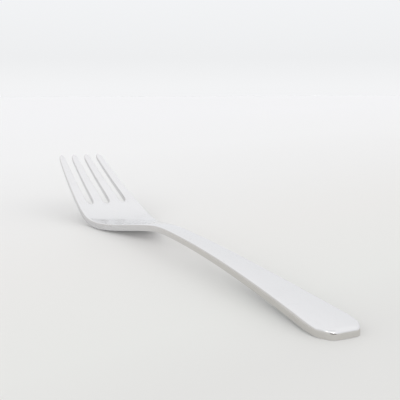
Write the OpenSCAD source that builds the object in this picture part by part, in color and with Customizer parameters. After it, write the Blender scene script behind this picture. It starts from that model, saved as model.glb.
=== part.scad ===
// Dinner fork, pressed from one blank of polished stainless steel.
// It lies hollow side up on a table: +X runs along it to the tips and +Z is up. The origin is
// on the table under the middle of its length. The nodes are the named sections of the blank,
// cut square across, and each meets the next face to face.

/* [Handle] */
// Length of the handle, from its end to the neck
handle_l = 80; // [60:1:100]
// Width of the handle at its end, before the corners are rounded
handle_w = 14.2; // [11:0.1:20]
// Thickness of the handle near its end
handle_t = 2.5; // [1.8:0.1:3.4]
// Taper of the handle's sides, where 1 is straight and more draws them in sooner
taper_power = 2; // [1:0.1:2.5]
// Height of the crown along the middle of the handle's top
crown_h = 0.3; // [0:0.05:0.6]
// Width of the flat in the middle of the handle's end
end_flat_w = 4.8; // [2:0.1:8]
// Length over which the corners of the handle's end are rounded
end_round_l = 10; // [5:0.1:16]
// Depth of the flat that is pressed under the handle's end, where it rests
end_cut_h = 0.4; // [0.2:0.05:0.5]
// Radius of the polished edges of the handle's face
handle_edge_r = 1.05; // [0.2:0.05:1.1]

/* [Neck] */
// Length of the neck, from the handle to the palm
neck_l = 22; // [12:1:36]
// Width of the neck where it meets the palm
neck_w = 6.8; // [5:0.1:9]
// Thickness of the neck at the top of the arch
neck_t = 2.25; // [1.8:0.1:3.6]
// Radius of the polished edges of the neck's face
neck_edge_r = 0.7; // [0.2:0.05:0.8]
// Height of the arch's underside above the table
arch_h = 5.9; // [3:0.1:12]
// Distance from the start of the neck to the top of the arch
arch_past_l = 18; // [6:1:26]
// Slope of the handle's underside at its end
end_slope = 0.1; // [0.05:0.01:0.14]

/* [Palm] */
// Length of the palm, from the neck to the roots of the slots
palm_l = 61.5; // [50:0.5:75]
// Width of the head at its widest
head_w = 26.4; // [22:0.1:30]
// Distance from the widest place to the roots of the slots
brow_l = 9.5; // [4:0.5:16]
// Thickness of the palm at the heel
palm_t = 2.45; // [1.8:0.1:3.2]
// Distance from the heel, where the head rests, to the roots of the slots
heel_back_l = 18.5; // [12:0.5:26]
// Depth of the dish across the palm
dish_h = 0.6; // [0.2:0.05:1.6]
// Depth of the small flat that the heel rests on
heel_cut_h = 0.08; // [0.04:0.01:0.15]
// Radius of the polished edges of the palm's face, at the heel
palm_edge_r = 0.95; // [0.5:0.05:1]

/* [Tines] */
// Length of the tines, from the roots of the slots to the tips
tine_l = 36.5; // [28:0.5:50]
// Width over the tines at their tips
tip_span_w = 19.6; // [18:0.1:26]
// Width of a tine at its root
tine_root_w = 4.2; // [3:0.1:5]
// Width of a tine just before its tip is rounded
tine_tip_w = 2.7; // [1.8:0.1:3.4]
// Thickness of a tine at its root
tine_root_t = 2.2; // [1.6:0.1:3]
// Thickness of a tine at its tip
tine_tip_t = 1.5; // [1:0.1:2.2]
// Length over which a tip is rounded
tip_round_l = 3.4; // [1.5:0.1:6]
// Width of the blunt end of a tip
tip_flat_w = 0.8; // [0.4:0.1:1.4]
// Height of the underside above the table at the roots of the slots
root_h = 4.2; // [2:0.1:8]
// Height of the underside above the table at the tips
tip_h = 21.5; // [12:0.5:34]
// Radius of the polished edges of the tines' face
tine_edge_r = 0.5; // [0.2:0.05:0.65]

/* [Back] */
// Radius of the edges all round the fork's back, which are less worn down than those of its face
back_edge_r = 0.45; // [0.2:0.05:0.6]

/* [Hidden] */

// Part of the dish that is gone at the tips
dish_fade_share = 0.6;
// Power of the curve that draws the outer tines in towards their tips
draw_in_power = 1.3;
// Largest edge radius, as a share of the thickness
edge_share = 0.45;
tine_count = 4;

// Rings of points in each stretch of the fork, and steps round a polished edge
end_steps = 9;
handle_steps = 16;
neck_steps = 6;
palm_steps = 26;
crotch_steps = 5;
tine_steps = 12;
tip_steps = 7;
edge_steps = 3;
// Places of the inner points across the handle and the neck
broad_shares = [for (i = [0:4]) 1 - i/2];

// Places along the fork, measured from the end of the handle
palm_at = handle_l + neck_l;
arch_at = handle_l + arch_past_l;
root_at = palm_at + palm_l;
brow_at = root_at - brow_l;
heel_at = root_at - heel_back_l;
fork_l = root_at + tine_l;
tip_at = fork_l - tip_round_l;
root_slope = (tip_h + heel_cut_h)/(fork_l - heel_at);
tip_slope = 2*(tip_h - root_h)/tine_l - root_slope;
// Run over which a slope is measured
probe_l = end_round_l/1000;

steel = [0.80, 0.81, 0.83];

function mix(a, b, u) = a + (b - a)*u;
function ease(u) = u*u*(3 - 2*u);
function ramp(s, from, to) = max(0, min(1, (s - from)/(to - from)));

// Smooth curve over a run, from height a with slope p to height b with slope q
function curve(u, a, b, p, q, run) =
    mix(a, b, ease(u)) + run*u*(1 - u)*(p*(1 - u) - q*u);

// Height of the underside on the middle line: end, arch, heel, roots of the slots, tips
function lift(s) =
    s < arch_at ? curve(ramp(s, 0, arch_at), -end_cut_h, arch_h, end_slope, 0, arch_at) :
    s < heel_at ? mix(arch_h, -heel_cut_h, ease(ramp(s, arch_at, heel_at))) :
    s < root_at ? curve(ramp(s, heel_at, root_at), -heel_cut_h, root_h, 0, root_slope,
                        heel_back_l) :
    curve(ramp(s, root_at, fork_l), root_h, tip_h, root_slope, tip_slope, tine_l);

// How much longer an upright measure is than one square to the sloping steel
function lean(s) = norm([1, (lift(s + probe_l) - lift(s))/probe_l]);

// Thickness of the steel, square to its middle line
function thick(s) =
    s < arch_at ? mix(handle_t, neck_t, ease(ramp(s, end_round_l, arch_at))) :
    s < heel_at ? mix(neck_t, palm_t, ease(ramp(s, arch_at, heel_at))) :
    s < root_at ? mix(palm_t, tine_root_t, ease(ramp(s, heel_at, root_at))) :
    mix(tine_root_t, tine_tip_t, ramp(s, root_at, fork_l));

// Radius of the polished edges of the face
function edge_r(s) = min(edge_share*thick(s),
    s < palm_at ? mix(handle_edge_r, neck_edge_r, ease(ramp(s, 0, palm_at))) :
    s < heel_at ? mix(neck_edge_r, palm_edge_r, ease(ramp(s, palm_at, heel_at))) :
    mix(palm_edge_r, tine_edge_r, ease(ramp(s, heel_at, root_at))));

// Half width of an outline that an elliptical corner, c of the way round, brings to a flat
function rounded(half, flat_w, c) = mix(flat_w/2, half, sqrt(1 - c*c));

// Half width of the whole outline: tapered handle, shoulders, and tines that draw in
function half_w(s) =
    s < palm_at ?
        rounded(mix(neck_w, handle_w, pow(1 - s/palm_at, taper_power))/2,
                end_flat_w, 1 - ramp(s, 0, end_round_l)) :
    s < brow_at ? mix(neck_w, head_w, ease(ramp(s, palm_at, brow_at)))/2 :
    mix(head_w, tip_span_w, pow(ramp(s, brow_at, fork_l), draw_in_power))/2;

// Depth of the dish and height of the crown at a place along the fork
function dish(s) =
    dish_h*ease(ramp(s, palm_at, heel_at))*(1 - dish_fade_share*ramp(s, root_at, fork_l));
function crown(s) =
    crown_h*ease(ramp(s, 0, end_round_l))*(1 - ease(ramp(s, palm_at, heel_at)));

// Underside and top of the steel, inside its rounded edges
function under(s, y) = lift(s) + dish(s)*pow(y/half_w(s), 2);
function top(s, y) =
    under(s, y) + thick(s)*lean(s) + crown(s)*(1 - pow(y/half_w(s), 2));

// How far an edge of radius r has fallen away at a distance d in from the rim
function fall(d, r) = d < r ? r - sqrt(r*r - (r - d)*(r - d)) : 0;

// Distance across the fork that one unit square to a sloping rim takes
function spread(near, far) = norm([1, (far - near)/probe_l]);

// Section at s through columns [y, distance in from the rim, edge radius of the face]: along
// the top from +Y to -Y, and back along the underside
function ring(s, columns) = concat(
    [for (c = columns)
        [s - fork_l/2, c[0], top(s, c[0]) - lean(s)*fall(c[1], c[2])]],
    [for (i = [len(columns) - 1:-1:0]) let (c = columns[i])
        [s - fork_l/2, c[0], under(s, c[0]) + lean(s)*fall(c[1], min(c[2], back_edge_r))]]);

// Distances in from the rim at which a rounded edge has its points, as shares of its width
edge_shares = [for (i = [0:edge_steps]) 1 - sin(90*(edge_steps - i)/edge_steps)];

// Columns across the whole width: the rounded edges, and inner points at the shares given
function broad_columns(s, shares) =
    let (w = half_w(s), slant = spread(w, half_w(s + probe_l)), r = edge_r(s),
         zone_w = min(w/2, r*slant),
         ys = concat([for (i = [0:edge_steps - 1]) w - zone_w*edge_shares[i]],
                     [for (share = shares) share*(w - zone_w)],
                     [for (i = [edge_steps - 1:-1:0]) zone_w*edge_shares[i] - w]))
    [for (y = ys) [y, min(s, (w - abs(y))/slant), r]];

// Width of a tine, and the distance between the middle lines of two tines
function tine_w(s) = mix(tine_root_w, tine_tip_w, ramp(s, root_at, fork_l));
function pitch(s) = (2*half_w(s) - tine_w(s))/(tine_count - 1);
crotch_r = (pitch(root_at) - tine_w(root_at))/2;

// Half width of a tine, on its outer side or on a side that faces a slot with a round root
function tine_half(s, slot_side) =
    let (straight = tine_w(s)/2, depth = ramp(s, root_at, root_at + crotch_r),
         slot_half = (pitch(s)/2 - straight)*sqrt(1 - pow(1 - depth, 2)))
    rounded(slot_side ? pitch(s)/2 - slot_half : straight, tip_flat_w,
            ramp(s, tip_at, fork_l));

// One side of tine k, where side is 1 towards +Y and -1 towards -Y
function side_columns(k, s, side) =
    let (middle_y = (tine_count - 1 - 2*k)*pitch(s)/2,
         slot_side = side > 0 ? k > 0 : k < tine_count - 1,
         half = tine_half(s, slot_side),
         slant = spread(half, tine_half(min(s + probe_l, fork_l), slot_side)),
         r = edge_r(s)*(slot_side ? ramp(s, root_at, root_at + crotch_r) : 1),
         zone_w = min(half/2, edge_r(s)*(s > tip_at ? slant : 1)))
    [for (share = edge_shares) let (in_w = zone_w*share)
        [middle_y + side*(half - in_w), min(fork_l - s, in_w/(s > tip_at ? slant : 1)), r]];

function tine_columns(k, s) =
    let (near = side_columns(k, s, 1), far = side_columns(k, s, -1),
         middle = [(near[0][0] + far[0][0])/2, min(fork_l - s, tine_w(s)), edge_r(s)])
    concat(near, [middle], [for (i = [edge_steps:-1:0]) far[i]]);

// Inner points across the palm, which lie on the lines of the tines' own points
palm_shares =
    let (inner_w = half_w(root_at) - edge_r(root_at), last = 2*edge_steps + 2)
    [for (k = [0:tine_count - 1]) let (columns = tine_columns(k, root_at))
        for (i = [(k == 0 ? edge_steps : 1):(k == tine_count - 1 ? edge_steps + 2 : last)])
            columns[i][0]/inner_w];

// Places for n steps from a to b: even, or drawn together at a rounded beginning or end
function even(a, b, n) = [for (i = [0:n]) mix(a, b, i/n)];
function from_round(a, b, n) = [for (i = [0:n - 1]) mix(a, b, 1 - cos(90*i/n))];
function to_round(a, b, n) = [for (i = [1:n]) mix(a, b, sin(90*i/n))];

// Closed skin over a row of rings that all have the same number of points
module skin(rings) {
    n = len(rings[0]);
    last = (len(rings) - 1)*n;
    polyhedron(
        points = [for (r = rings) each r],
        faces = concat(
            [for (j = [0:n/2 - 2]) let (a = j, b = j + 1, c = n - 2 - j, d = n - 1 - j)
                each [[a, b, c], [a, c, d],
                      [last + c, last + b, last + a], [last + d, last + c, last + a]]],
            [for (i = [0:len(rings) - 2], j = [0:n - 1])
                let (a = i*n + j, d = i*n + (j + 1)%n)
                each [[a, a + n, d + n], [a, d + n, d]]]),
        convexity = 6);
}

// Presses flat whatever would reach below the table
module pressed_flat() {
    difference() {
        children();
        translate([-fork_l, -head_w, -palm_t])
            cube([2*fork_l, 2*head_w, palm_t]);
    }
}

// Handle: slim, tapered and lightly crowned, with a squared end that has round corners
module handle() {
    places = concat(from_round(0, end_round_l, end_steps),
                    even(end_round_l, handle_l, handle_steps));
    color(steel) pressed_flat()
        skin([for (s = places) ring(s, broad_columns(s, broad_shares))]);
}

// Neck: the narrowest stretch, over the top of the arch
module neck() {
    color(steel)
        skin([for (s = even(handle_l, palm_at, neck_steps))
            ring(s, broad_columns(s, broad_shares))]);
}

// Palm: shoulders that spread to the head's full width, dished, with the heel it rests on
module palm() {
    color(steel) pressed_flat()
        skin([for (s = even(palm_at, root_at, palm_steps))
            ring(s, broad_columns(s, palm_shares))]);
}

// Tine k, counted from the +Y side: its flared root makes half of each round slot end
module tine(k) {
    places = concat(from_round(root_at, root_at + crotch_r, crotch_steps),
                    even(root_at + crotch_r, tip_at, tine_steps),
                    to_round(tip_at, fork_l, tip_steps));
    color(steel) skin([for (s = places) ring(s, tine_columns(k, s))]);
}

handle();
neck();
palm();
tine(0);  // tine_1
tine(1);  // tine_2
tine(2);  // tine_3
tine(3);  // tine_4
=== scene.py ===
import math

import bmesh
import bpy
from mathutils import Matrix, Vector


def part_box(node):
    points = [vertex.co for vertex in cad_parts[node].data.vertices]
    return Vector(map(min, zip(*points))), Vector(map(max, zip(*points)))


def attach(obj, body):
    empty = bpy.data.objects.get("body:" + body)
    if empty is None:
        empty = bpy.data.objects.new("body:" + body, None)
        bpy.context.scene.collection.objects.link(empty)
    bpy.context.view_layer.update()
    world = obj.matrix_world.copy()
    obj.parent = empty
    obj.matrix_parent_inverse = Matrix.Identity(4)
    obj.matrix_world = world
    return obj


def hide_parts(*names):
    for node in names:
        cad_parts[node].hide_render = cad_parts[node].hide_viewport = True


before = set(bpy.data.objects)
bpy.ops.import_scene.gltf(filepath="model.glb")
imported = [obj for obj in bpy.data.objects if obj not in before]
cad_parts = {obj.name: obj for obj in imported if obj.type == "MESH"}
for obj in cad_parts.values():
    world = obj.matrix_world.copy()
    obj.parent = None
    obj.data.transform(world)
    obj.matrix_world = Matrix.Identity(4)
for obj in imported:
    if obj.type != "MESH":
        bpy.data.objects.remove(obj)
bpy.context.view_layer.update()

# Camera: it stands behind the end of the handle and a little to its +Y side, just above the
# table, and looks along the fork to the tines. Lengths are in metres and angles in degrees.
CAMERA_AT = (-0.23862, 0.10696, 0.06201)
CAMERA_TURN, CAMERA_TILT = -26.395, -9.679
LENS_PX, VIEW_ACROSS_PX = 775.9, 400
bpy.ops.object.camera_add(
    location=CAMERA_AT,
    rotation=(math.radians(90 + CAMERA_TILT), 0, math.radians(CAMERA_TURN - 90)),
)
camera = bpy.context.object
camera.name = "camera"
camera.data.sensor_width = 36
camera.data.lens = LENS_PX / VIEW_ACROSS_PX * camera.data.sensor_width
camera.data.clip_start = 0.01
camera.data.clip_end = 50
bpy.context.scene.camera = camera
bpy.context.scene.view_settings.view_transform = "Standard"

# Table top: a smooth top painted white. Its tone is drawn a little warmer and darker at its near
# end and paler further off, as painted light falloff. It is turned a little to the left of the
# camera's heading, and its far edge shows behind the fork.
TABLE_SIDE = 2.9
TABLE_TURN = CAMERA_TURN + 8
PAINT_ROUGHNESS, PAINT_SHINE, GLOW_SHARE = 0.5, 0.2, 0.09
# The way across the table, in its own axes, in which the painted light falloff makes the paint
# paler, and where along it the tones start and end
PAINTED_LIGHT_TOWARDS, TONES_FROM, TONES_TO = (1, 0.7, 0), -0.15, 0.75
# Share of the way between those two places, and the tone there: white paint, darker and warmer
# near the camera as painted light falloff
PAINT_TONES_WITH_PAINTED_FALLOFF = [
    (0.04, (0.745, 0.743, 0.730)),
    (0.08, (0.775, 0.778, 0.760)),
    (0.17, (0.800, 0.793, 0.780)),
    (0.31, (0.832, 0.829, 0.827)),
    (0.53, (0.865, 0.865, 0.870)),
    (0.92, (0.875, 0.875, 0.890)),
]

bpy.ops.object.select_all(action="DESELECT")
bpy.ops.mesh.primitive_plane_add(
    size=TABLE_SIDE, location=(0, 0, 0), rotation=(0, 0, math.radians(TABLE_TURN))
)
table_top = bpy.context.object
table_top.name = "table_top"


def wired(tree, kind, inputs, **settings):
    """Adds a node to a tree; each input is given a value, or another node's output."""
    node = tree.nodes.new(kind)
    for name, value in settings.items():
        setattr(node, name, value)
    for name, value in inputs.items():
        if isinstance(value, bpy.types.NodeSocket):
            tree.links.new(value, node.inputs[name])
        else:
            node.inputs[name].default_value = value
    return node


def worked_out(tree, operation, *values):
    """A sum, a product or the like of one or more values."""
    node = wired(tree, "ShaderNodeMath", dict(enumerate(values)), operation=operation)
    return node.outputs["Value"]


def reach(tree, vector, way):
    """How far a vector goes in one direction."""
    node = wired(tree, "ShaderNodeVectorMath", {0: vector, 1: way}, operation="DOT_PRODUCT")
    return node.outputs["Value"]


def spread(tree, value, none_at=0.0, full_at=1.0, full=1.0, easing="SMOOTHSTEP"):
    """A mask that runs from none to full while a value goes from one number to another."""
    node = wired(
        tree,
        "ShaderNodeMapRange",
        {"Value": value, "From Min": none_at, "From Max": full_at, "To Max": full},
        interpolation_type=easing,
    )
    return node.outputs["Result"]


def toned(tree, share, tones):
    """A colour that runs through some tones, each of which stands at its own share."""
    node = wired(tree, "ShaderNodeValToRGB", {"Fac": share})
    stops = node.color_ramp.elements
    while len(stops) < len(tones):
        stops.new(0.5)
    for stop, (stands_at, colour) in zip(stops, tones):
        stop.position = stands_at
        stop.color = (*colour, 1)
    return node.outputs["Color"]


def on_show(tree):
    """A mask of what the camera sees, straight on or in the steel."""
    ray = wired(tree, "ShaderNodeLightPath", {})
    return worked_out(
        tree, "MAXIMUM", ray.outputs["Is Camera Ray"], ray.outputs["Is Glossy Ray"]
    )


# A small share of what shows of the paint is its own tone unshaded, so that the fork's shadow
# on it stays soft
table_paint = bpy.data.materials.new("table_paint")
table_paint.use_nodes = True
paint = table_paint.node_tree
on_table = wired(paint, "ShaderNodeTexCoord", {}).outputs["Object"]
# Painted light falloff: the paint's tone runs from darker and warmer at the near end to paler
# further off
away = spread(
    paint, reach(paint, on_table, PAINTED_LIGHT_TOWARDS), TONES_FROM, TONES_TO, easing="LINEAR"
)
paint_with_painted_falloff = toned(paint, away, PAINT_TONES_WITH_PAINTED_FALLOFF)
shader = paint.nodes["Principled BSDF"]
shader.inputs["Roughness"].default_value = PAINT_ROUGHNESS
shader.inputs["Specular IOR Level"].default_value = PAINT_SHINE
paint.links.new(paint_with_painted_falloff, shader.inputs["Base Color"])
glow = wired(paint, "ShaderNodeEmission", {"Color": paint_with_painted_falloff})
both = wired(
    paint,
    "ShaderNodeMixShader",
    {
        "Fac": worked_out(paint, "MULTIPLY", on_show(paint), GLOW_SHARE),
        1: shader.outputs["BSDF"],
        2: glow.outputs["Emission"],
    },
)
paint.links.new(both.outputs["Shader"], paint.nodes["Material Output"].inputs["Surface"])
table_top.data.materials.append(table_paint)

# Light: a soft, nearly white room with a bright ceiling and one dimmer wall on the left. Behind
# the camera a bright window glows over a dim sill, with a smaller one beside it. The steel
# mirrors all of it.
WALLS_FROM, WALLS_TO = -0.1, 1.0
# Height up the walls, where 0 is level and 1 is straight up, and the tone there
WALL_TONES = [
    (-0.060, (0.900, 0.905, 0.915)),
    (-0.022, (0.895, 0.900, 0.910)),
    (0.012, (0.855, 0.862, 0.872)),
    (0.085, (0.890, 0.900, 0.915)),
    (0.350, (0.945, 0.950, 0.955)),
    (0.720, (1.050, 1.050, 1.050)),
    (0.920, (1.040, 1.040, 1.040)),
    (1.000, (0.880, 0.880, 0.880)),
]
# Patches of the room, each painted over those before it: turn to the left of the camera's
# heading and height, how far from there the patch is full and where it ends, all in degrees,
# and its tone
DIM_WALL = (62, -5, 25, 44, (0.72, 0.70, 0.675))
WINDOW_GLOW = (174, 31, 10, 40, (1.18, 1.18, 1.18))
WINDOW = (178, 33, 4, 13, (2.8, 2.8, 2.8))
SMALL_WINDOW = (131, 20, 2, 7, (2.2, 2.2, 2.2))
DIM_SILL = (176, -25, 41, 45, (0.10, 0.08, 0.07))
ROOM_PATCHES = (DIM_WALL, WINDOW_GLOW, WINDOW, SMALL_WINDOW, DIM_SILL)
# The light that falls on the table: the turn of the side that most of it comes from, its level,
# what it gains from that side, and what it loses straight overhead
LIGHT_TURN, LIGHT_LEVEL, SIDE_GAIN, OVERHEAD_LOSS = -168, 1.72, 0.8, 1.4

room = bpy.data.worlds.new("room")
bpy.context.scene.world = room
room.use_nodes = True
walls = room.node_tree
facing = wired(walls, "ShaderNodeTexCoord", {}).outputs["Generated"]
up = wired(walls, "ShaderNodeSeparateXYZ", {"Vector": facing}).outputs["Z"]


def heading(turn, height=0):
    """The way to a place in the room, given its turn and its height as a patch has them."""
    turn, height = math.radians(turn + CAMERA_TURN), math.radians(height)
    return (
        math.cos(height) * math.cos(turn),
        math.cos(height) * math.sin(turn),
        math.sin(height),
    )


def blended(tree, share, first, second):
    """Two colours mixed: all the first where the share is 0, all the second where it is 1."""
    node = wired(
        tree, "ShaderNodeMix", {"Factor": share, "A": first, "B": second}, data_type="RGBA"
    )
    return node.outputs["Result"]


up_the_walls = spread(walls, up, WALLS_FROM, WALLS_TO, easing="LINEAR")
wall_stops = [((z - WALLS_FROM) / (WALLS_TO - WALLS_FROM), tone) for z, tone in WALL_TONES]
mirrored = toned(walls, up_the_walls, wall_stops)
for turn, height, full_to, ends_at, colour in ROOM_PATCHES:
    patch = spread(
        walls,
        reach(walls, facing, heading(turn, height)),
        none_at=math.cos(math.radians(ends_at)),
        full_at=math.cos(math.radians(full_to)),
    )
    mirrored = blended(walls, patch, mirrored, (*colour, 1))

# The camera and the steel see the room so far. The light that falls on the table comes more from
# behind the camera than from ahead, and least from overhead.
from_side = reach(walls, facing, [SIDE_GAIN * part for part in heading(LIGHT_TURN)])
overhead = worked_out(walls, "MULTIPLY", up, up)
from_above = worked_out(walls, "MULTIPLY_ADD", overhead, -OVERHEAD_LOSS, LIGHT_LEVEL)
falling = worked_out(walls, "ADD", from_side, from_above)
walls.links.new(
    blended(walls, on_show(walls), falling, mirrored),
    walls.nodes["Background"].inputs["Color"],
)

# Fork: one piece of stainless steel sheet, from the end of the handle to the tips of the tines.
# It is cut out as a flat blank, thinned at the tines, pressed to its arched profile and its
# dish, ground round the edges and polished.

# Its sizes are in millimetres until it is finished, and a place s is measured along it from the
# end of the handle. The arch is where the neck stands highest, the heel is the lowest place of
# the palm, the brow is its widest, and the root is where the tines start.
MM = 0.001


def node_length(node):
    """Length of one section of the solid fork, to a thousandth of a millimetre."""
    low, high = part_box(node)
    return round((high[0] - low[0]) / MM, 3)


HANDLE_L, NECK_L = node_length("handle"), node_length("neck")
PALM_L, TINE_L = node_length("palm"), node_length("tine_1")
HANDLE_W, HANDLE_T, TAPER_POWER, CROWN_H = 14.2, 2.5, 2, 0.3
END_FLAT_W, END_ROUND_L, END_CUT_H, END_SLOPE = 4.8, 10, 0.4, 0.1
END_FULLNESS, END_FULL_L = 0.07, 12
NECK_W, NECK_T, ARCH_H, ARCH_PAST_L = 6.8, 2.25, 5.9, 18
HEAD_W, PALM_T, BROW_L, HEEL_BACK_L, HEEL_CUT_H = 26.4, 2.45, 9.5, 18.5, 0.08
DISH_H, DISH_FADE_SHARE = 0.6, 0.6
TINE_COUNT, TINE_ROOT_W, TINE_TIP_W, TINE_ROOT_T, TINE_TIP_T = 4, 4.2, 2.7, 2.2, 1.5
TIP_SPAN_W, DRAW_IN_POWER, TIP_ROUND_L, TIP_FLAT_W = 19.6, 1.3, 3.4, 0.8
ROOT_H, TIP_H = 4.2, 21.5
END_EDGE_R, HANDLE_EDGE_R, NECK_EDGE_R, PALM_EDGE_R = 1.25, 1.0, 0.6, 0.95
TINE_EDGE_R, BACK_EDGE_R = 0.5, 0.45

PALM_AT = HANDLE_L + NECK_L
ARCH_AT = HANDLE_L + ARCH_PAST_L
ROOT_AT = PALM_AT + PALM_L
BROW_AT = ROOT_AT - BROW_L
HEEL_AT = ROOT_AT - HEEL_BACK_L
FORK_L = ROOT_AT + TINE_L
TIP_AT = FORK_L - TIP_ROUND_L
ROOT_SLOPE = (TIP_H + HEEL_CUT_H) / (FORK_L - HEEL_AT)
TIP_SLOPE = 2 * (TIP_H - ROOT_H) / TINE_L - ROOT_SLOPE


def mix(a, b, share):
    return a + (b - a) * share


def ease(share):
    return share * share * (3 - 2 * share)


def ramp(s, start, end):
    return max(0, min(1, (s - start) / (end - start)))


def eased(s, start, end):
    return ease(ramp(s, start, end))


def rounded(corner):
    """Share of the width that is left at this share of a round corner's length."""
    return math.sqrt(1 - corner * corner)


def curve(s, start, end, height_a, height_b, slope_a, slope_b):
    """Smooth profile over one stretch, with a height and a slope given at both its ends."""
    share = ramp(s, start, end)
    bend = share * (1 - share) * (slope_a * (1 - share) - slope_b * share)
    return mix(height_a, height_b, ease(share)) + (end - start) * bend


def lift(s):
    """Height of the underside on the middle line."""
    if s < ARCH_AT:
        return curve(s, 0, ARCH_AT, -END_CUT_H, ARCH_H, END_SLOPE, 0)
    if s < HEEL_AT:
        return mix(ARCH_H, -HEEL_CUT_H, eased(s, ARCH_AT, HEEL_AT))
    if s < ROOT_AT:
        return curve(s, HEEL_AT, ROOT_AT, -HEEL_CUT_H, ROOT_H, 0, ROOT_SLOPE)
    return curve(s, ROOT_AT, FORK_L, ROOT_H, TIP_H, ROOT_SLOPE, TIP_SLOPE)


def slope(s, near=0.01):
    """Slope of the underside."""
    return (lift(s + near) - lift(s - near)) / (2 * near)


def upright(s):
    """Thickness of the steel, measured straight up through its slope."""
    if s < ARCH_AT:
        square = mix(HANDLE_T, NECK_T, eased(s, END_ROUND_L, ARCH_AT))
    elif s < HEEL_AT:
        square = mix(NECK_T, PALM_T, eased(s, ARCH_AT, HEEL_AT))
    elif s < ROOT_AT:
        square = mix(PALM_T, TINE_ROOT_T, eased(s, HEEL_AT, ROOT_AT))
    else:
        square = mix(TINE_ROOT_T, TINE_TIP_T, ramp(s, ROOT_AT, FORK_L))
    return square * math.hypot(1, slope(s))


def half_w(s):
    """Half the width of the whole outline."""
    if s < PALM_AT:
        side = mix(NECK_W, HANDLE_W, (1 - s / PALM_AT) ** TAPER_POWER) / 2
        return mix(END_FLAT_W / 2, side, rounded(1 - ramp(s, 0, END_ROUND_L)))
    if s < BROW_AT:
        return mix(NECK_W, HEAD_W, eased(s, PALM_AT, BROW_AT)) / 2
    return mix(HEAD_W, TIP_SPAN_W, ramp(s, BROW_AT, FORK_L) ** DRAW_IN_POWER) / 2


def fuller_half_w(s):
    """Half the width of the outline, a little fuller at the corners of the handle's end."""
    return half_w(s) * (1 + END_FULLNESS * (1 - ramp(s, 0, END_FULL_L)))


def dish(s):
    fade = 1 - DISH_FADE_SHARE * ramp(s, ROOT_AT, FORK_L)
    return DISH_H * eased(s, PALM_AT, HEEL_AT) * fade


def crown(s):
    return CROWN_H * eased(s, 0, END_ROUND_L) * (1 - eased(s, PALM_AT, HEEL_AT))


def tine_w(s):
    return mix(TINE_ROOT_W, TINE_TIP_W, ramp(s, ROOT_AT, FORK_L))


def tine_half_w(s):
    """Half the width of one tine, with its tip rounded."""
    return mix(TIP_FLAT_W / 2, tine_w(s) / 2, rounded(ramp(s, TIP_AT, FORK_L)))


def pitch(s):
    return (2 * half_w(s) - tine_w(s)) / (TINE_COUNT - 1)


# Rows of the blank, by their places along it. The first is squared off for the end of the
# handle, and its sides stand halfway round the corners. The bowed rows and those of the tips
# also say how far they bow.
END_ROW = 2.93
BOWED_ROWS = [(5.0, 2.7), (7.41, 2.6), (10.4, 2.2), (14.2, 1.4), (18.8, 0.5)]
HANDLE_ROWS = [25, 32, 39, 46, 53, 60, 67, 74, 81, 88, 94.5]
PALM_ROWS = [100.5, 106, 111, 116, 121, 126, 131, 135.5, 140, 144.5, 149, 153, 157, 161]
SLOT_R = (pitch(ROOT_AT) - TINE_ROOT_W) / 2
SLOT_ROW = ROOT_AT + SLOT_R
TINE_ROWS = [167.5, 171.5, 176, 180.5, 185, 189.5, 193.5, 196.6]
TIP_ROWS = [(198.1, 0.4), (199.05, 1.35)]
ROWS = [
    END_ROW,
    *(s for s, bow in BOWED_ROWS),
    *HANDLE_ROWS,
    *PALM_ROWS,
    SLOT_ROW,
    *TINE_ROWS,
    *(s for s, bow in TIP_ROWS),
]
SLOT_ROW_NO = ROWS.index(SLOT_ROW)

# Columns of the blank from its middle to a side, as shares of the half width: on the handle,
# and across the roots of the slots. From SPREAD_FROM on, the first go over into the second.
# HALFWAY_ROUND is how far across a round root, or a round corner, the middle of its arc lies.
SPREAD_FROM = 122
HALFWAY_ROUND = math.sin(math.pi / 4)
HANDLE_SHARES = [0, 0.12, 0.24, 0.34, 0.425, 0.5, 0.57, 0.635, 0.7, 0.77, 1]
slot_pitch = pitch(SLOT_ROW)
slot_half_w = (slot_pitch - tine_w(SLOT_ROW)) / 2
ROOT_SHARES = [
    across / half_w(SLOT_ROW)
    for across in (
        0,
        slot_half_w * HALFWAY_ROUND,
        slot_half_w,
        slot_pitch / 2,
        slot_pitch - slot_half_w,
        slot_pitch - slot_half_w * HALFWAY_ROUND,
        slot_pitch,
        slot_pitch + slot_half_w * HALFWAY_ROUND,
        slot_pitch + slot_half_w,
        slot_pitch * 3 / 2,
        half_w(SLOT_ROW),
    )
]
HALF_COLUMNS = len(ROOT_SHARES) - 1
# Numbers of the columns, from the middle: the last one on the flat of the handle's end, those
# along the middles of the tines and of the slots, and how many a slot takes on either side
FLAT_COLUMN = 4
TINE_MIDDLES = [9, 3, -3, -9]
SLOT_MIDDLES, SLOT_REACH = [-6, 0, 6], 2

# The blank: a grid with a vertex for each row and column, and the slots cut out of it
bpy.ops.object.select_all(action="DESELECT")
bpy.ops.mesh.primitive_grid_add(
    x_subdivisions=len(ROWS) - 1, y_subdivisions=2 * HALF_COLUMNS, size=2
)
fork = bpy.context.object
fork.name = "polished_fork"
bpy.ops.object.mode_set(mode="EDIT")
half_length = (len(ROWS) - 1) / 2
bpy.ops.transform.resize(value=(half_length, HALF_COLUMNS, 1))
bpy.ops.transform.translate(value=(half_length, 0, 0))


def pick(kind, test):
    """Selects the vertices, edges or faces that pass a test, and nothing else."""
    bpy.ops.mesh.select_mode(type={"verts": "VERT", "edges": "EDGE", "faces": "FACE"}[kind])
    bpy.ops.mesh.select_all(action="DESELECT")
    blank = bmesh.from_edit_mesh(fork.data)
    for part in getattr(blank, kind):
        if test(part):
            part.select = True
    blank.select_flush_mode()
    bmesh.update_edit_mesh(fork.data)


def in_a_slot(face):
    middle = face.calc_center_median()
    return middle.x > SLOT_ROW_NO and any(
        abs(middle.y - column) < SLOT_REACH for column in SLOT_MIDDLES
    )


pick("faces", in_a_slot)
bpy.ops.mesh.delete(type="FACE")

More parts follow.
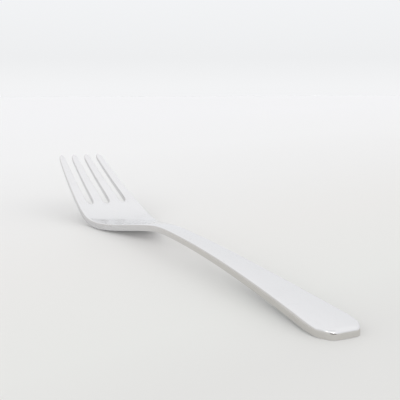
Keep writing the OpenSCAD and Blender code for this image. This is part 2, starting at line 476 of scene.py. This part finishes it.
# The blank gets its thickness, and each vertex is known by its row, its column and its side
BACK, FACE = 0, 1
bpy.ops.mesh.select_all(action="SELECT")
bpy.ops.mesh.extrude_region_move(TRANSFORM_OT_translate={"value": (0, 0, 1)})
number_at = {}
for vertex in bmesh.from_edit_mesh(fork.data).verts:
    number_at[round(vertex.co.x), round(vertex.co.y), round(vertex.co.z)] = vertex.index


def take(rows, columns, sides=(BACK, FACE)):
    """Selects the blank's vertices in these rows and columns and on these sides."""
    wanted = {
        number_at.get((row, column, side))
        for row in rows
        for column in columns
        for side in sides
    }
    pick("verts", lambda vertex: vertex.index in wanted)


every_row = range(len(ROWS))
every_column = range(-HALF_COLUMNS, HALF_COLUMNS + 1)

# The rows are drawn far apart, so that each can be shaped alone
WAITING_FROM, WAITING_APART = 1000, 100


def waiting_x(row):
    return WAITING_FROM + WAITING_APART * row


bpy.ops.mesh.select_all(action="SELECT")
bpy.ops.transform.resize(value=(WAITING_APART, 1, 1), center_override=(0, 0, 0))
bpy.ops.transform.translate(value=(WAITING_FROM, 0, 0))

# The columns are set, and spread out for the slots towards the root
for row, s in enumerate(ROWS):
    nearness = eased(s, SPREAD_FROM, SLOT_ROW)
    for column in range(1, HALF_COLUMNS + 1):
        share = mix(HANDLE_SHARES[column], ROOT_SHARES[column], nearness)
        take([row], [column, -column])
        bpy.ops.transform.resize(
            value=(1, share / column, 1), center_override=(waiting_x(row), 0, 0)
        )

# Both sides are pressed down along the middle to a trough one deep, which each row then
# takes in its own measure: the dish below and above, and the crown above
take(every_row, [0])
bpy.ops.transform.translate(
    value=(0, 0, -1),
    use_proportional_edit=True,
    proportional_edit_falloff="INVERSE_SQUARE",
    proportional_size=1,
)
for row, s in enumerate(ROWS):
    x, low = waiting_x(row), lift(s) + dish(s)
    take([row], every_column, [BACK])
    bpy.ops.transform.resize(value=(1, 1, dish(s)), center_override=(x, 0, 0))
    bpy.ops.transform.translate(value=(0, 0, low))
    take([row], every_column, [FACE])
    bpy.ops.transform.resize(value=(1, 1, dish(s) - crown(s)), center_override=(x, 0, 1))
    bpy.ops.transform.translate(value=(0, 0, low + upright(s) - 1))

# Each row gets its width, and past the root each tine has its own width and place
for row, s in enumerate(ROWS):
    x = waiting_x(row)
    if row <= SLOT_ROW_NO:
        take([row], every_column)
        bpy.ops.transform.resize(value=(1, fuller_half_w(s), 1), center_override=(x, 0, 0))
        continue
    for number, column in enumerate(TINE_MIDDLES):
        drawn_y = math.copysign(ROOT_SHARES[abs(column)], column)
        drawn_half_w = 1 - ROOT_SHARES[TINE_MIDDLES[0]]
        place_y = pitch(s) * ((TINE_COUNT - 1) / 2 - number)
        take([row], [column - 1, column, column + 1])
        bpy.ops.transform.resize(
            value=(1, tine_half_w(s) / drawn_half_w, 1), center_override=(x, drawn_y, 0)
        )
        bpy.ops.transform.translate(value=(0, place_y - drawn_y, 0))

# The end of the handle: the first row is squared off with round corners, and the next ones
# bow back
take([0], every_column)
bpy.ops.transform.translate(value=(END_ROUND_L - END_ROW, 0, 0))
take([0], range(-FLAT_COLUMN, FLAT_COLUMN + 1))
bpy.ops.transform.translate(
    value=(-END_ROUND_L, 0, 0),
    use_proportional_edit=True,
    proportional_edit_falloff="SPHERE",
    proportional_size=(half_w(END_ROW) - END_FLAT_W / 2) / HALFWAY_ROUND,
)
for row, (s, bow) in enumerate(BOWED_ROWS, start=1):
    take([row], [0])
    bpy.ops.transform.translate(
        value=(-bow, 0, 0),
        use_proportional_edit=True,
        proportional_edit_falloff="INVERSE_SQUARE",
        proportional_size=half_w(s),
    )

# The slots' round roots and the tips' round ends
take([SLOT_ROW_NO], SLOT_MIDDLES)
bpy.ops.transform.translate(
    value=(-SLOT_R, 0, -SLOT_R * slope(ROOT_AT)),
    use_proportional_edit=True,
    proportional_edit_falloff="SPHERE",
    proportional_size=slot_half_w,
)
for row, (s, bow) in enumerate(TIP_ROWS, start=len(ROWS) - len(TIP_ROWS)):
    take([row], TINE_MIDDLES)
    bpy.ops.transform.translate(value=(bow, 0, bow * slope(s)))

# Each row is drawn to its place along the fork
for row, s in enumerate(ROWS):
    take([row], every_column)
    bpy.ops.transform.translate(value=(s - FORK_L / 2 - waiting_x(row), 0, 0))
bpy.ops.mesh.select_all(action="SELECT")
bpy.ops.mesh.normals_make_consistent(inside=False)

# The edges are ground and polished round, those of the face more than those of the back. The
# rim is where the blank turns by more than RIM_TURN, and each stretch of it has its own radius.
STRETCH_L, RIM_TURN = 5, math.radians(50)


def face_edge_r(s):
    if s < PALM_AT:
        side = mix(HANDLE_EDGE_R, NECK_EDGE_R, eased(s, 0, PALM_AT))
        return mix(END_EDGE_R, side, eased(s, END_ROUND_L / 2, 2 * END_ROUND_L))
    if s < HEEL_AT:
        return mix(NECK_EDGE_R, PALM_EDGE_R, eased(s, PALM_AT, HEEL_AT))
    return mix(PALM_EDGE_R, TINE_EDGE_R, eased(s, HEEL_AT, ROOT_AT))


face_vertices = {number for (row, column, side), number in number_at.items() if side == FACE}


def rim_of(stretch_at, on_face):
    """Test for the rim's edges over one stretch of the fork, on its face or on its back."""

    def is_there(edge):
        ends = edge.verts
        return (
            len(edge.link_faces) == 2
            and edge.calc_face_angle() > RIM_TURN
            and all((end.index in face_vertices) == on_face for end in ends)
            and 0 <= (ends[0].co.x + ends[1].co.x + FORK_L) / 2 - stretch_at < STRETCH_L
        )

    return is_there


for stretch_at in range(0, int(FORK_L), STRETCH_L):
    pick("edges", rim_of(stretch_at, on_face=True))
    stretch_r = face_edge_r(stretch_at + STRETCH_L / 2)
    bpy.ops.transform.edge_bevelweight(value=stretch_r / END_EDGE_R)
    pick("edges", rim_of(stretch_at, on_face=False))
    bpy.ops.transform.edge_bevelweight(value=BACK_EDGE_R / END_EDGE_R)
bpy.ops.object.mode_set(mode="OBJECT")
grinding = fork.modifiers.new("grinding", "BEVEL")
grinding.limit_method = "WEIGHT"
grinding.width = END_EDGE_R
grinding.segments = 3
grinding.profile = 0.7
grinding.use_clamp_overlap = False
bpy.ops.object.modifier_apply(modifier=grinding.name)
smoothing = fork.modifiers.new("smoothing", "SUBSURF")
smoothing.levels = smoothing.render_levels = 2
bpy.ops.object.modifier_apply(modifier=smoothing.name)

# The two flats that it rests on, and the change from millimetres to metres
bpy.ops.object.mode_set(mode="EDIT")
pick("verts", lambda vertex: vertex.co.z < 0)
bpy.ops.transform.resize(value=(1, 1, 0), center_override=(0, 0, 0))
bpy.ops.mesh.select_all(action="SELECT")
bpy.ops.transform.resize(value=(MM, MM, MM), center_override=(0, 0, 0))
bpy.ops.object.mode_set(mode="OBJECT")
bpy.ops.object.shade_smooth()

# The steel: bright on the faces, and plainer on the cut edge. The cut edge also carries a
# painted reflection tint: a little yellower at the handle and a cooler grey at the head,
# standing in for the colours it mirrors there. From here on, lengths and places are in metres.
FACE_TONE, FACE_ROUGHNESS = (0.785, 0.785, 0.80), 0.085
# The cut edge's satin tone with its painted reflection tint, at the handle and at the head, and
# the places along the fork between which the tint turns
HANDLE_EDGE_SATIN_AND_PAINTED_REFLECTION, HEAD_EDGE_SATIN_AND_PAINTED_REFLECTION = (0.66, 0.645, 0.62), (0.675, 0.675, 0.685)
EDGE_PAINTED_REFLECTION_TURNS = (-0.03, 0.04)
# Grain of the marks: how long, wide and high its cells are
POLISH_CELL = (0.022, 0.00025, 0.00025)
GRIND_CELL = (0.006, 0.006, 0.0002)
RIPPLE_CELL = (0.014, 0.008, 0.008)
SMEAR_CELL = (0.013, 0.008, 0.008)
SCRATCHED_CELL = (0.012, 0.005, 0.005)
# Scratches: their turn in degrees, and how long and wide their grain is
SCRATCHES = [(9, 0.070, 0.0018), (-27, 0.050, 0.0016), (64, 0.040, 0.0015)]
# How strong the grain is where the lines start to show, and where they show in full
POLISH_SHOWS, GRIND_SHOWS = (0.3, 0.7), (0.35, 0.65)
# Between which places the palm's wear sets in and fades out, and how high above the table the
# darker, rougher lowest band reaches
PALM_WEAR_STARTS, PALM_WEAR_ENDS, LOWEST_BAND_H = (0.014, 0.034), (0.056, 0.070), 0.00025
# How far each mark takes the tone towards MARK_TONE, how much it roughens the steel, and how
# high it stands
MARK_TONE = (0.30, 0.285, 0.265)
POLISH_ROUGHENS, POLISH_H = 0.03, 0.0000008
GRIND_DULLS, GRIND_ROUGHENS, GRIND_H = 0.06, 0.06, 0.0000015
SMEAR_DULLS, SMEAR_ROUGHENS = 0.02, 0.07
SCRATCH_DULLS, SCRATCH_ROUGHENS, SCRATCH_H = 0.05, 0.12, -0.000002
LOWEST_BAND_DULLS, LOWEST_BAND_ROUGHENS = 0.08, 0.28
PALM_ROUGHENS, RIPPLE_H = 0.07, 0.00002

polished_steel = bpy.data.materials.new("polished_steel")
polished_steel.use_nodes = True
steel = polished_steel.node_tree
place = wired(steel, "ShaderNodeTexCoord", {})
spot = wired(steel, "ShaderNodeSeparateXYZ", {"Vector": place.outputs["Object"]})
upward = wired(steel, "ShaderNodeSeparateXYZ", {"Vector": place.outputs["Normal"]}).outputs["Z"]


def grain(cell, turn=0, detail=2):
    """Noise in cells of this size, turned on the fork by this many degrees."""
    drawn_out = wired(
        steel,
        "ShaderNodeMapping",
        {
            "Vector": place.outputs["Object"],
            "Rotation": (0, 0, math.radians(turn)),
            "Scale": cell,
        },
        vector_type="TEXTURE",
    )
    noise = wired(
        steel,
        "ShaderNodeTexNoise",
        {"Vector": drawn_out.outputs["Vector"], "Scale": 1, "Detail": detail},
    )
    return noise.outputs["Fac"]


def added(first, *others):
    for other in others:
        first = worked_out(steel, "ADD", first, other)
    return first


def both_masks(first, second):
    return worked_out(steel, "MULTIPLY", first, second)


# Where the steel stands upright it is the cut edge
cut_edge = spread(steel, worked_out(steel, "ABSOLUTE", upward), none_at=0.45, full_at=0.1)

# Polishing lines along the fork, grinding lines round the cut edges, smears from fingers, fine
# scratches from use, the worn palm, and a band that is darker and rougher where the steel lies
# lowest, on the two flats that rest on the table
polish_lines = grain(POLISH_CELL)
grind_lines = grain(GRIND_CELL)
ripples = grain(RIPPLE_CELL, detail=0)
smears = spread(steel, grain(SMEAR_CELL, turn=20, detail=4), none_at=0.5, full_at=0.68)
scratches = 0.0
for turn, cell_l, cell_w in SCRATCHES:
    level = worked_out(steel, "SUBTRACT", grain((cell_l, cell_w, cell_w), turn, detail=0), 0.5)
    thin = spread(steel, worked_out(steel, "ABSOLUTE", level), none_at=0.012, full_at=0.002)
    here = spread(steel, grain(SCRATCHED_CELL, turn, detail=1), none_at=0.52, full_at=0.64)
    scratches = worked_out(steel, "MAXIMUM", scratches, both_masks(thin, here))
# The steel is drawn darker and rougher where it lies lowest, next to the table
lowest_band = spread(steel, spot.outputs["Z"], none_at=LOWEST_BAND_H, full_at=0.0)
worn_palm = both_masks(
    spread(steel, spot.outputs["X"], *PALM_WEAR_STARTS),
    spread(steel, spot.outputs["X"], *reversed(PALM_WEAR_ENDS)),
)

# Painted reflection tint on the cut edge: yellower towards the handle, cooler grey towards the
# head
satin_and_painted_reflection_tone = blended(
    steel,
    spread(steel, spot.outputs["X"], *EDGE_PAINTED_REFLECTION_TURNS),
    (*HANDLE_EDGE_SATIN_AND_PAINTED_REFLECTION, 1),
    (*HEAD_EDGE_SATIN_AND_PAINTED_REFLECTION, 1),
)
dulling = added(
    spread(steel, smears, full=SMEAR_DULLS),
    both_masks(cut_edge, spread(steel, grind_lines, *GRIND_SHOWS, GRIND_DULLS)),
    spread(steel, scratches, full=SCRATCH_DULLS),
    spread(steel, lowest_band, full=LOWEST_BAND_DULLS),
)
roughness = added(
    FACE_ROUGHNESS,
    spread(steel, polish_lines, *POLISH_SHOWS, POLISH_ROUGHENS),
    spread(steel, smears, full=SMEAR_ROUGHENS),
    spread(steel, scratches, full=SCRATCH_ROUGHENS),
    both_masks(cut_edge, spread(steel, grind_lines, *GRIND_SHOWS, GRIND_ROUGHENS)),
    spread(steel, lowest_band, full=LOWEST_BAND_ROUGHENS),
    spread(steel, worn_palm, full=PALM_ROUGHENS),
)
relief = added(
    spread(steel, ripples, full=RIPPLE_H),
    spread(steel, polish_lines, full=POLISH_H),
    spread(steel, scratches, full=SCRATCH_H),
    both_masks(cut_edge, spread(steel, grind_lines, full=GRIND_H)),
)
clean_tone = blended(steel, cut_edge, (*FACE_TONE, 1), satin_and_painted_reflection_tone)
marked_tone = blended(steel, dulling, clean_tone, (*MARK_TONE, 1))
bump = wired(steel, "ShaderNodeBump", {"Height": relief, "Distance": 1.0, "Strength": 1.0})
shader = steel.nodes["Principled BSDF"]
shader.inputs["Metallic"].default_value = 1
steel.links.new(marked_tone, shader.inputs["Base Color"])
steel.links.new(roughness, shader.inputs["Roughness"])
steel.links.new(bump.outputs["Normal"], shader.inputs["Normal"])
fork.data.materials.append(polished_steel)

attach(fork, "root")
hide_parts("handle", "neck", "palm", "tine_1", "tine_2", "tine_3", "tine_4")
